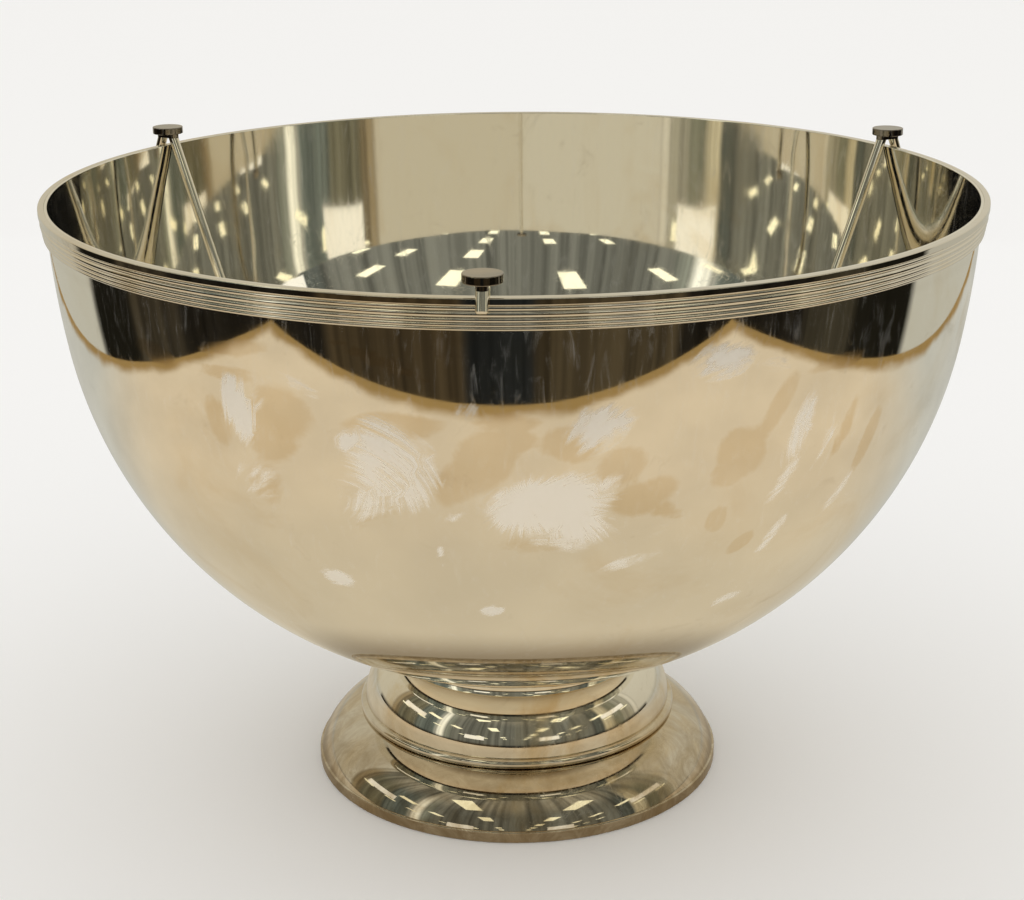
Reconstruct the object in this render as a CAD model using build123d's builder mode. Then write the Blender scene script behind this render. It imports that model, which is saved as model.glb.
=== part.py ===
"""Footed punch bowl with a lift-out ice rack.

A spun bowl stands on a two-tier foot, and a reeded band runs round its rim. Inside hangs a rack: three
slanting rods carry a ring with a drain plate, and each rod ends over the rim in a forked hook with a knob.
Millimetres, +Z up. The bowl's axis is the Z axis, and the foot stands on the plane z = 0.
"""
from build123d import *
from math import cos, radians, sin, sqrt, tan
import os

# ---- driving dimensions: bowl ----
RIM_RADIUS = 200.0  # over the reeded band
RIM_HEIGHT = 267.5  # table to the flat of the lip
SHEET = 1.3  # wall of the spun bowl
LIP_WIDTH = 3.9  # flat on top of the rim: the wall's edge and the band together
WALL_SET_BACK = 3.25  # how far the top of the bowl's flank stands in from the fascia
WALL_TILT = 3.0  # degrees that the top of the flank leans outwards
FLARE_HEIGHT = 12.5  # short cone at the top of the wall, which carries the band
FLOOR_HEIGHT = 51.0  # table to the underside of the bowl
HAUNCH_RADIUS = 188.7  # middle one of the profile's three tangent arcs
CROWN_ANGLE = 21.6  # degrees from the axis to the end of the lowest arc
HAUNCH_ANGLE = 80.5  # degrees from the axis to the end of the middle arc

# ---- driving dimensions: rim band ----
FASCIA_HEIGHT = 2.7  # plain upright face below the lip
REED_HEIGHTS = (2.0, 2.4, 1.8, 1.6, 1.3)  # half-round reeds, from the top down
REED_BULGE = 0.30  # how far a reed stands out, as a share of its height
GROOVE_DEPTH = 0.8  # first groove, measured in from the fascia
BAND_FOOT = 1.3  # thickness of the band at its lower edge
EDGE_ROUND = 0.5  # rounding of the fascia's upper edge

# ---- driving dimensions: foot ----
FOOT_SHEET = 1.2  # wall of the spun tiers
SEAT_WIDTH = 6.0  # flat ledge turned in at the top of each tier
BASE_RADIUS = 92.4
BASE_HEIGHT = 5.3
BASE_WIDTH = 5.0
BASE_EDGE = 0.8  # rounding of the base ring's outer edges
LOWER_STEP = 0.9  # how far the lower dome stands in from the base ring
LOWER_TOP_RADIUS = 72.6
LOWER_TOP_HEIGHT = 24.3
LOWER_BULGE = 3.1  # crown of the lower dome's arc above its chord
BEAD_RADIUS = 2.4
UPPER_STEP = 2.2  # how far the upper dome stands in from the lower dome's ledge
UPPER_TOP_RADIUS = 57.8
UPPER_TOP_HEIGHT = 52.3
UPPER_BULGE = 3.1  # crown of the upper dome's arc above its chord
COLLAR_STEP = 1.0  # how far the collar stands in from the upper dome
COLLAR_WAIST = 0.8  # depth of the collar's hollow

# ---- driving dimensions: rack ----
ROD_RADIUS = 2.3
ROD_SLOPE = 21.0  # degrees from upright, inwards for the rod and outwards for the leg
RIM_GAP = 0.2  # air between a hook and the rim
WALL_GAP = 2.0  # air between the rack's ring and the bowl
RING_ROD_RADIUS = 3.0
PLATE_SHEET = 1.2
PLATE_LAP = 0.8  # how far the plate's edge reaches over the ring's inner side
HOLE_RADIUS = 4.5
HOLE_PITCH = 24.0  # between the circles of holes
HOLE_MARGIN = 8.0  # least metal between the outer holes' centres and the plate's edge
HOLES_IN_FIRST_CIRCLE = 6
LEG_DROP = 4.4  # lip to the middle of the leg's tip
LEG_CHAMFER = 0.7
HEAD_CLEARANCE = 3.2  # lip to the underside of the hook's head
HEAD_THICKNESS = 2.0
KNOB_RADIUS = 7.15
KNOB_THICKNESS = 3.2
KNOB_CHAMFER = 0.35
STUD_RADIUS = 1.5
STUD_CLEARANCE = 0.05  # running fit of the knob's stud in the head
HOOK_AZIMUTHS = {"front": -90.0, "right": 30.0, "left": 150.0}

# ---- the bowl's profile ----
WALL_RADIUS = RIM_RADIUS - WALL_SET_BACK
WALL_HEIGHT = RIM_HEIGHT - FLARE_HEIGHT
LIP_INNER = RIM_RADIUS - LIP_WIDTH
LIP_SEAM = LIP_INNER + SHEET  # where the wall's edge meets the band


def crown_and_flank():
    """Radii of the lowest and highest arcs that bring the profile, at its tilt, to the wall."""
    a, b, end = radians(CROWN_ANGLE), radians(HAUNCH_ANGLE), radians(90 - WALL_TILT)
    across = WALL_RADIUS - HAUNCH_RADIUS * (sin(b) - sin(a))
    upwards = WALL_HEIGHT - FLOOR_HEIGHT - HAUNCH_RADIUS * (cos(a) - cos(b))
    flank_across, flank_upwards = sin(end) - sin(b), cos(b) - cos(end)
    scale = sin(a) * flank_upwards - flank_across * (1 - cos(a))
    crown = (across * flank_upwards - upwards * flank_across) / scale
    flank = (upwards * sin(a) - across * (1 - cos(a))) / scale
    return crown, flank


CROWN_RADIUS, FLANK_RADIUS = crown_and_flank()
CROWN_CENTRE = FLOOR_HEIGHT + CROWN_RADIUS


def crown_height(radius):
    """Height of the bowl's underside at a radius inside the lowest arc."""
    return CROWN_CENTRE - sqrt(CROWN_RADIUS**2 - radius**2)


def flare_radius(height):
    """Outer radius of the cone that carries the band."""
    return WALL_RADIUS + (LIP_SEAM - WALL_RADIUS) * (height - WALL_HEIGHT) / FLARE_HEIGHT


def wall_arcs(inset):
    """Draw the three tangent arcs from the axis to the top of the flank, inset from the outside."""
    arc = JernArc((0, FLOOR_HEIGHT + inset), (1, 0), CROWN_RADIUS - inset, CROWN_ANGLE)
    arc = JernArc(arc @ 1, arc % 1, HAUNCH_RADIUS - inset, HAUNCH_ANGLE - CROWN_ANGLE)
    return JernArc(arc @ 1, arc % 1, FLANK_RADIUS - inset, 90 - WALL_TILT - HAUNCH_ANGLE)


with BuildPart() as bowl_shell:
    with BuildSketch(Plane.XZ):
        with BuildLine():
            outside = wall_arcs(0)
            inside = wall_arcs(SHEET)
            Polyline(outside @ 1, (LIP_SEAM, RIM_HEIGHT), (LIP_INNER, RIM_HEIGHT), inside @ 1)
            Line((0, FLOOR_HEIGHT), (0, FLOOR_HEIGHT + SHEET))
        make_face()
    revolve(axis=Axis.Z)

# ---- rim band ----
REEDS_TOP = RIM_HEIGHT - FASCIA_HEIGHT
BAND_BOTTOM = REEDS_TOP - sum(REED_HEIGHTS)
GROOVE_RADIUS = RIM_RADIUS - GROOVE_DEPTH
BAND_FOOT_RADIUS = flare_radius(BAND_BOTTOM) + BAND_FOOT


def groove_radius(height):
    """Radius of the cone that the grooves between the reeds lie on."""
    share = (REEDS_TOP - height) / sum(REED_HEIGHTS)
    return GROOVE_RADIUS + (BAND_FOOT_RADIUS - GROOVE_RADIUS) * share


with BuildPart() as rim_band:
    with BuildSketch(Plane.XZ):
        with BuildLine():
            lip = Line((LIP_SEAM, RIM_HEIGHT), (RIM_RADIUS - EDGE_ROUND, RIM_HEIGHT))
            edge = JernArc(lip @ 1, (1, 0), EDGE_ROUND, -90)
            Polyline(edge @ 1, (RIM_RADIUS, REEDS_TOP), (GROOVE_RADIUS, REEDS_TOP))
            top = REEDS_TOP
            for reed in REED_HEIGHTS:
                middle, bottom = top - reed / 2, top - reed
                crest = groove_radius(middle) + reed * REED_BULGE
                ThreePointArc((groove_radius(top), top), (crest, middle), (groove_radius(bottom), bottom))
                top = bottom
            Polyline((groove_radius(top), top), (flare_radius(top), top), (LIP_SEAM, RIM_HEIGHT))
        make_face()
    revolve(axis=Axis.Z)


# ---- foot ----
def bulged_arc(start, end, bulge):
    """Draw an arc from start up and in to end, whose middle stands outside the chord by bulge."""
    start, end = Vector(start), Vector(end)
    chord = (end - start).normalized()
    middle = (start + end) / 2 + Vector(chord.Y, -chord.X) * bulge
    return ThreePointArc(start, middle, end)


with BuildPart() as foot_base_ring:
    with BuildSketch(Plane.XZ):
        with Locations((BASE_RADIUS - BASE_WIDTH / 2, BASE_HEIGHT / 2)):
            Rectangle(BASE_WIDTH, BASE_HEIGHT)
        fillet(vertices().group_by(Axis.X)[-1], BASE_EDGE)
    revolve(axis=Axis.Z)

LOWER_START = BASE_RADIUS - LOWER_STEP
LOWER_SEAT = LOWER_TOP_RADIUS - SEAT_WIDTH

with BuildPart() as foot_lower_tier:
    with BuildSketch(Plane.XZ):
        with BuildLine():
            outside = bulged_arc((LOWER_START, BASE_HEIGHT), (LOWER_TOP_RADIUS, LOWER_TOP_HEIGHT), LOWER_BULGE)
            inside = bulged_arc(
                (LOWER_START - FOOT_SHEET, BASE_HEIGHT),
                (LOWER_TOP_RADIUS - FOOT_SHEET, LOWER_TOP_HEIGHT - FOOT_SHEET),
                LOWER_BULGE,
            )
            seat = (LOWER_SEAT, LOWER_TOP_HEIGHT)
            Polyline(outside @ 1, seat, (LOWER_SEAT, LOWER_TOP_HEIGHT - FOOT_SHEET), inside @ 1)
            Line(outside @ 0, inside @ 0)
        make_face()
    revolve(axis=Axis.Z)

UPPER_START = LOWER_TOP_RADIUS - UPPER_STEP
BEAD_TOP = LOWER_TOP_HEIGHT + 2 * BEAD_RADIUS
UPPER_SEAT = UPPER_TOP_RADIUS - SEAT_WIDTH

with BuildPart() as foot_upper_tier:
    with BuildSketch(Plane.XZ):
        with BuildLine():
            bead = JernArc((UPPER_START, LOWER_TOP_HEIGHT), (1, 0), BEAD_RADIUS, 180)
            outside = bulged_arc(bead @ 1, (UPPER_TOP_RADIUS, UPPER_TOP_HEIGHT), UPPER_BULGE)
            inside = bulged_arc(
                (UPPER_START - FOOT_SHEET, BEAD_TOP),
                (UPPER_TOP_RADIUS - FOOT_SHEET, UPPER_TOP_HEIGHT - FOOT_SHEET),
                UPPER_BULGE,
            )
            seat = (UPPER_SEAT, UPPER_TOP_HEIGHT)
            Polyline(outside @ 1, seat, (UPPER_SEAT, UPPER_TOP_HEIGHT - FOOT_SHEET), inside @ 1)
            Polyline(bead @ 0, (UPPER_START - FOOT_SHEET, LOWER_TOP_HEIGHT), inside @ 0)
        make_face()
    revolve(axis=Axis.Z)

COLLAR_RADIUS = UPPER_TOP_RADIUS - COLLAR_STEP

with BuildPart() as neck_collar:
    with BuildSketch(Plane.XZ):
        with BuildLine():
            low, high = UPPER_TOP_HEIGHT, crown_height(COLLAR_RADIUS)
            ThreePointArc(
                (COLLAR_RADIUS, low), (COLLAR_RADIUS - COLLAR_WAIST, (low + high) / 2), (COLLAR_RADIUS, high)
            )
            middle = (UPPER_SEAT + COLLAR_RADIUS) / 2
            inner_high = crown_height(UPPER_SEAT)
            ThreePointArc((COLLAR_RADIUS, high), (middle, crown_height(middle)), (UPPER_SEAT, inner_high))
            Polyline((UPPER_SEAT, inner_high), (UPPER_SEAT, low), (COLLAR_RADIUS, low))
        make_face()
    revolve(axis=Axis.Z)

# ---- where the rack hangs ----
SLOPE = radians(ROD_SLOPE)
ROD_AXIS = LIP_INNER - RIM_GAP - ROD_RADIUS / cos(SLOPE)  # at the height of the lip
LEG_AXIS = RIM_RADIUS + RIM_GAP + ROD_RADIUS / cos(SLOPE)  # at the height of the lip
HEAD_HEIGHT = RIM_HEIGHT + HEAD_CLEARANCE
KNOB_HEIGHT = HEAD_HEIGHT + HEAD_THICKNESS
HOOK_RADIUS = (ROD_AXIS + LEG_AXIS) / 2  # where the head and the knob are centred


def rod_length():
    """Length of a rod's axis from the lip down to where the ring stands off the bowl by the gap."""
    inwards = (CROWN_RADIUS - HAUNCH_RADIUS) * sin(radians(CROWN_ANGLE))
    upwards = CROWN_CENTRE - (CROWN_RADIUS - HAUNCH_RADIUS) * cos(radians(CROWN_ANGLE))
    reach = HAUNCH_RADIUS - SHEET - RING_ROD_RADIUS - WALL_GAP
    across, down = ROD_AXIS - inwards, RIM_HEIGHT - upwards
    along = across * sin(SLOPE) + down * cos(SLOPE)
    return along + sqrt(along**2 - across**2 - down**2 + reach**2)


ROD_LENGTH = rod_length()
RACK_RADIUS = ROD_AXIS - ROD_LENGTH * sin(SLOPE)
RACK_HEIGHT = RIM_HEIGHT - ROD_LENGTH * cos(SLOPE)
PLATE_RADIUS = RACK_RADIUS - RING_ROD_RADIUS + PLATE_LAP
PLATE_UNDERSIDE = RACK_HEIGHT + sqrt(RING_ROD_RADIUS**2 - (RACK_RADIUS - PLATE_RADIUS) ** 2)
HOLE_CIRCLES = int((PLATE_RADIUS - HOLE_MARGIN) / HOLE_PITCH)


def radial(azimuth, radius, height):
    """Point, or direction, given by its radius and height at an azimuth in degrees."""
    return Vector(radius * cos(radians(azimuth)), radius * sin(radians(azimuth)), height)


# ---- rack: ring and drain plate ----
with BuildPart() as rack_ring:
    with BuildSketch(Plane.XZ):
        with Locations((RACK_RADIUS, RACK_HEIGHT)):
            Circle(RING_ROD_RADIUS)
    revolve(axis=Axis.Z)

with BuildPart() as drain_plate:
    with BuildSketch(Plane.XY.offset(PLATE_UNDERSIDE)):
        Circle(PLATE_RADIUS)
        Circle(HOLE_RADIUS, mode=Mode.SUBTRACT)
        for circle in range(1, HOLE_CIRCLES + 1):
            with PolarLocations(circle * HOLE_PITCH, circle * HOLES_IN_FIRST_CIRCLE):
                Circle(HOLE_RADIUS, mode=Mode.SUBTRACT)
    extrude(amount=PLATE_SHEET)


# ---- rack: hooks ----
def build_hanger_rod(azimuth):
    """Slanting rod inside the bowl, coped onto the ring and cut level under the hook's head."""
    foot = radial(azimuth, RACK_RADIUS, RACK_HEIGHT)
    upwards = radial(azimuth, sin(SLOPE), cos(SLOPE))
    with BuildPart() as rod:
        with BuildSketch(Plane(origin=foot, z_dir=upwards)):
            Circle(ROD_RADIUS)
        extrude(amount=ROD_LENGTH + HEAD_HEIGHT)
        split(bisect_by=Plane.XY.offset(HEAD_HEIGHT), keep=Keep.BOTTOM)
        add(rack_ring.part, mode=Mode.SUBTRACT)
    return rod


def build_hook_leg(azimuth):
    """Short leg outside the band, with a chamfered tip, cut level under the hook's head."""
    tip = radial(azimuth, LEG_AXIS + LEG_DROP * tan(SLOPE), RIM_HEIGHT - LEG_DROP)
    upwards = radial(azimuth, -sin(SLOPE), cos(SLOPE))
    with BuildPart() as leg:
        with BuildSketch(Plane(origin=tip, z_dir=upwards)):
            Circle(ROD_RADIUS)
        extrude(amount=HEAD_HEIGHT)
        chamfer(leg.edges().sort_by(Axis.Z)[0], LEG_CHAMFER)
        split(bisect_by=Plane.XY.offset(HEAD_HEIGHT), keep=Keep.BOTTOM)
    return leg


def build_hook_head(azimuth):
    """Obround bar that joins the tops of the rod and the leg, bored for the knob's stud."""
    width = LEG_AXIS - ROD_AXIS + 2 * ROD_RADIUS / cos(SLOPE) - 2 * HEAD_CLEARANCE * tan(SLOPE)
    centre = radial(azimuth, HOOK_RADIUS, HEAD_HEIGHT)
    with BuildPart() as head:
        with BuildSketch(Plane(origin=centre, x_dir=radial(azimuth, 1, 0), z_dir=(0, 0, 1))):
            SlotOverall(width, 2 * ROD_RADIUS)
            Circle(STUD_RADIUS + STUD_CLEARANCE, mode=Mode.SUBTRACT)
        extrude(amount=HEAD_THICKNESS)
    return head


def build_knob(azimuth):
    """Flat disc knob with the stud that screws down through the head."""
    with BuildPart() as knob:
        with BuildSketch(Plane(origin=radial(azimuth, HOOK_RADIUS, KNOB_HEIGHT), z_dir=(0, 0, 1))):
            Circle(KNOB_RADIUS)
        extrude(amount=KNOB_THICKNESS)
        chamfer(knob.edges().filter_by(GeomType.CIRCLE), KNOB_CHAMFER)
        with BuildSketch(Plane(origin=radial(azimuth, HOOK_RADIUS, HEAD_HEIGHT), z_dir=(0, 0, 1))):
            Circle(STUD_RADIUS)
        extrude(amount=HEAD_THICKNESS)
    return knob


# ---- write one file for each piece ----
pieces = {
    "bowl_shell": bowl_shell,
    "rim_band": rim_band,
    "neck_collar": neck_collar,
    "foot_upper_tier": foot_upper_tier,
    "foot_lower_tier": foot_lower_tier,
    "foot_base_ring": foot_base_ring,
    "rack_ring": rack_ring,
    "drain_plate": drain_plate,
}
for side, azimuth in HOOK_AZIMUTHS.items():
    pieces[f"hanger_rod_{side}"] = build_hanger_rod(azimuth)
    pieces[f"hook_leg_{side}"] = build_hook_leg(azimuth)
    pieces[f"hook_head_{side}"] = build_hook_head(azimuth)
    pieces[f"knob_{side}"] = build_knob(azimuth)

os.makedirs("parts", exist_ok=True)
for name, piece in pieces.items():
    piece.part.label = name
    export_step(piece.part, f"parts/{name}.step")
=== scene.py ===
"""Looks of a footed, silver-plated punch bowl with a lift-out ice rack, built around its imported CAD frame.

Every new piece is a surface of revolution or a round rod, worked out with numpy as whole arrays in metres
in the CAD frame: the bowl's axis is Z, the foot stands on z = 0, and the front hook points to -Y.
"""
import logging
from dataclasses import dataclass
from enum import Enum
from math import cos, pi, radians, sin, tan
from typing import Sequence

import bpy
import numpy as np
from mathutils import Matrix, Vector


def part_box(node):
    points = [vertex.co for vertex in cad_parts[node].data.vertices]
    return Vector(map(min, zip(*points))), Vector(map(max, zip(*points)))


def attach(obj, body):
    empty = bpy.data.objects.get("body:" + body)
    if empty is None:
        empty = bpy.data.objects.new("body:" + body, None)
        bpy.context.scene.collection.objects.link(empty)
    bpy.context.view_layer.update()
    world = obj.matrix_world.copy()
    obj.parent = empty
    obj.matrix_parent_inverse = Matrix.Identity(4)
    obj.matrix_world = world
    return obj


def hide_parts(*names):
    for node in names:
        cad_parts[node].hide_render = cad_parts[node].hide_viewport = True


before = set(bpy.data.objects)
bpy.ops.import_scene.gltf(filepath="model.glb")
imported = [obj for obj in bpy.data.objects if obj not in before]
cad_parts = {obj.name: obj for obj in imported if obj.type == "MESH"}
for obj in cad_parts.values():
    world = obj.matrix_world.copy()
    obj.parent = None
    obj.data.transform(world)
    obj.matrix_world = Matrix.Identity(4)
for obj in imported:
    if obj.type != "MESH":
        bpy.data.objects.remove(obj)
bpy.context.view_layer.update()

LOG = logging.getLogger("punch_bowl")
MM = 0.001
TURN = 2.0 * pi

Array = np.ndarray
Point = tuple[float, float]
Colour = tuple[float, float, float]
Point3 = tuple[float, float, float]
Socket = bpy.types.NodeSocket


class Side(Enum):
    """The three hooks, each with its azimuth in degrees."""

    FRONT = -90.0
    RIGHT = 30.0
    LEFT = 150.0

    @property
    def node(self) -> str:
        """Ending of this hook's node names."""
        return self.name.lower()


class Slot(Enum):
    """Material slots of the record."""

    BOWL = "bowl_plate"
    BAND = "band_plate"
    FOOT = "foot_plate"
    RACK = "rack_plate"
    DARK = "dark_plate"


# ---- outlines: points (radius from the axis, height) ----------------------------------------------


def turned_arc(start: Point, heading: float, radius: float, turn: float, steps: int) -> Array:
    """Arc that leaves a point with a given heading and turns by a given angle.

    The centre lies a radius to the left of the heading for a turn to the left, and to the right otherwise.
    At turning angle t the point is the centre plus the start's offset from it, turned by t.

    Args:
        start: First point.
        heading: Direction at the start, in degrees from the outward direction.
        radius: The arc's radius.
        turn: Angle turned through, in degrees, positive to the left.
        steps: Number of points.

    Returns:
        Array of shape (steps, 2).
    """
    side = np.sign(turn)
    left = np.array([-sin(radians(heading)), cos(radians(heading))]) * side
    centre = np.array(start) + left * radius
    t = np.radians(np.linspace(0.0, turn, steps))
    x, y = -left * radius
    return centre + np.column_stack([x * np.cos(t) - y * np.sin(t), x * np.sin(t) + y * np.cos(t)])


def bulged_arc(start: Point, end: Point, bulge: float, steps: int) -> Array:
    """Arc from start to end whose middle stands off the chord by bulge, to the right of the way.

    For a chord c and a bulge b the radius is (c * c / 4 + b * b) / (2 * b), and at angle t from the middle
    the point is the centre plus radius times (sin t along the chord, cos t away from it).

    Args:
        start: First point.
        end: Last point.
        bulge: Height of the arc over its chord, negative for a hollow.
        steps: Number of points.

    Returns:
        Array of shape (steps, 2).
    """
    a, b = np.array(start, float), np.array(end, float)
    chord = float(np.hypot(*(b - a)))
    along = (b - a) / chord
    out = np.array([along[1], -along[0]])
    radius = (chord**2 / 4 + bulge**2) / (2 * bulge)
    half = np.arcsin(chord / 2 / radius)
    t = np.linspace(-half, half, steps)[:, None]
    centre = (a + b) / 2 + out * (bulge - radius)
    return centre + radius * (along * np.sin(t) + out * np.cos(t))


def eased(corners: Sequence[Point], radius: float, steps: int = 5) -> Array:
    """Chain of straight runs whose inner corners are rounded off.

    Each corner gives way to the curve (1-s)^2 a + 2 s (1-s) corner + s^2 b, for s from 0 to 1, between the
    points a and b that lie radius away from it on its two runs. One more point beyond each of them holds the
    shading of the straight run flat.

    Args:
        corners: Corners of the chain, whose two ends stay.
        radius: Distance from a corner to the start of its rounding.
        steps: Points on each rounding.

    Returns:
        Array of points.
    """
    p = np.array(corners, float)
    s = np.linspace(0.0, 1.0, steps)[:, None]
    runs = [p[:1]]
    for before, corner, after in zip(p[:-2], p[1:-1], p[2:]):
        ends = []
        for other in (before, after):
            length = float(np.hypot(*(other - corner)))
            hold = min(1.4 * radius, (radius + length / 2) / 2)
            ends.append([corner + (other - corner) / length * reach for reach in (hold, radius)])
        (lead, a), (trail, b) = ends
        runs.append(np.vstack([lead, (1 - s) ** 2 * a + 2 * s * (1 - s) * corner + s**2 * b, trail]))
    runs.append(p[-1:])
    return np.vstack(runs)


def straight(start: Point, end: Point, steps: int) -> Array:
    """Evenly spaced points from start to end."""
    return np.linspace(start, end, steps)


def joined(*runs: Array) -> Array:
    """Runs of points set end to end, with points under a hundredth of a millimetre apart merged."""
    line = np.vstack(runs)
    step = np.hypot(*np.diff(line, axis=0).T)
    return line[np.concatenate([[True], step > 0.01 * MM])]


# ---- meshes ---------------------------------------------------------------------------------------


def grid_mesh(name: str, rows: Array, along: Array, closed: bool, sharp: float = 40.0) -> bpy.types.Object:
    """Put a grid of points into a smooth mesh that is closed round its columns.

    Point (i, j) joins (i + 1, j) and (i, j + 1). Columns wrap round, and rows do too where closed is set. A
    row whose points all coincide becomes one vertex, and the quads beside it triangles.

    Args:
        name: Name of the object.
        rows: Points, shape (rows, columns, 3), in an order that turns the faces outwards.
        along: Distance along the outline at each row, with one more at the end for a closed grid.
        closed: Whether the last row joins the first.
        sharp: Angle in degrees past which an edge is drawn sharp.

    Returns:
        The new object, linked to the scene, with turns and metres along the outline as its UV map.
    """
    n, m = rows.shape[:2]
    pole = np.ptp(rows, axis=1).max(axis=1) < 0.001 * MM
    counts = np.where(pole, 1, m)
    first = np.concatenate([[0], np.cumsum(counts)[:-1]])
    points = np.vstack([rows[i, : counts[i]] for i in range(n)])
    i, j = np.meshgrid(np.arange(n if closed else n - 1), np.arange(m), indexing="ij")
    corners = [(i, j), (i, (j + 1) % m), ((i + 1) % n, (j + 1) % m), ((i + 1) % n, j)]
    quads = np.stack([first[a] + np.where(pole[a], 0, b) for a, b in corners], axis=-1).reshape(-1, 4)
    turns = np.stack([j, j + 1, j + 1, j], axis=-1).reshape(-1, 4) / m
    metres = np.stack([along[i], along[i], along[i + 1], along[i + 1]], axis=-1).reshape(-1, 4)
    keep = np.ones(quads.shape, bool)
    keep[:, 1] = quads[:, 1] != quads[:, 0]
    keep[:, 3] = quads[:, 3] != quads[:, 2]
    mesh = bpy.data.meshes.new(name)
    mesh.vertices.add(len(points))
    mesh.vertices.foreach_set("co", points.ravel())
    mesh.loops.add(int(keep.sum()))
    mesh.loops.foreach_set("vertex_index", quads[keep])
    mesh.polygons.add(len(quads))
    mesh.polygons.foreach_set("loop_start", np.concatenate([[0], np.cumsum(keep.sum(axis=1))[:-1]]))
    mesh.update(calc_edges=True)
    spun = mesh.uv_layers.new(name="spun")
    spun.data.foreach_set("uv", np.column_stack([turns[keep], metres[keep]]).ravel())
    mesh.shade_smooth()
    mesh.set_sharp_from_angle(angle=radians(sharp))
    piece = bpy.data.objects.new(name, mesh)
    bpy.context.scene.collection.objects.link(piece)
    return piece


def revolved(name: str, outline: Array, segments: int, closed: bool = True, sharp: float = 40.0,
             axis: Point = (0.0, 0.0)) -> bpy.types.Object:
    """Surface of revolution about an upright axis.

    A point of the outline at (r, z) becomes (r cos a, r sin a, z), moved to the axis, for each azimuth a.

    Args:
        name: Name of the object.
        outline: Points (r, z), anticlockwise with r to the right and z up, so that the faces point outwards.
        segments: Number of columns round the axis.
        closed: Whether the outline's last point joins its first.
        sharp: Angle in degrees past which an edge is drawn sharp.
        axis: Where the axis stands, in x and y.

    Returns:
        The new object.
    """
    a = np.linspace(0.0, TURN, segments, endpoint=False)
    r, z = outline[:, :1], outline[:, 1:]
    rows = np.stack([axis[0] + r * np.cos(a), axis[1] + r * np.sin(a), z + 0 * a], axis=-1)
    steps = np.hypot(*np.diff(np.vstack([outline, outline[:1]]), axis=0).T)
    return grid_mesh(name, rows, np.concatenate([[0.0], np.cumsum(steps)]), closed, sharp)


def rod(name: str, low: Vector, axis: Vector, radius: float, top: float, chamfer: float,
        segments: int = 40) -> bpy.types.Object:
    """Round rod with a chamfered lower end, cut level at the top.

    A point at angle a and distance t is low + t axis + r (cos a side + sin a other), with axis, side and
    other square to each other. The topmost ring takes the t that brings each of its points to the height top.

    Args:
        name: Name of the object.
        low: Middle of the lower end.
        axis: Unit vector up the rod.
        radius: The rod's radius.
        top: Height of the level cut.
        chamfer: Size of the lower end's chamfer.
        segments: Number of columns.

    Returns:
        The new object.
    """
    side = np.array(axis.orthogonal().normalized())
    up, start = np.array(axis), np.array(low)
    other = np.cross(up, side)
    a = np.linspace(0.0, TURN, segments, endpoint=False)[:, None]
    spoke = np.cos(a) * side + np.sin(a) * other
    level = (top - start[2] - radius * spoke[:, 2:]) / up[2]
    ends = [(0.0, 0.0), (radius - chamfer, 0.0), (radius, chamfer)]
    rows = [start + t * up + r * spoke for r, t in ends]
    body = [start + s * level * up + radius * spoke for s in np.linspace(0.1, 1.0, 12)]
    crown = start + (top - start[2]) / up[2] * up + 0 * spoke
    grid = np.stack([*rows, *body, crown])
    along = np.concatenate([[0.0], np.cumsum(np.linalg.norm(np.diff(grid[:, 0], axis=0), axis=1))])
    return grid_mesh(name, grid, along, False)


def settle(piece: bpy.types.Object, finish: bpy.types.Material, slot: Slot, body: str, *nodes: str) -> None:
    """Dress a finished piece, name its body, and let it stand for its CAD nodes.

    Args:
        piece: The finished object.
        finish: Its material.
        slot: Not used.
        body: The body that it rides on.
        nodes: CAD nodes that it stands for.
    """
    piece.data.materials.append(finish)
    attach(piece, body)
    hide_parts(*nodes)
    LOG.info("%s: %d faces, rides on %s", piece.name, len(piece.data.polygons), body)


def dress(node: str, finish: bpy.types.Material) -> None:
    """Give a CAD node that stays on show its finish."""
    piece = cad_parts[node]
    piece.data.materials.clear()
    piece.data.materials.append(finish)
    LOG.info("%s: the CAD mesh, dressed in %s", node, finish.name)


# ---- finishes -------------------------------------------------------------------------------------


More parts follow.
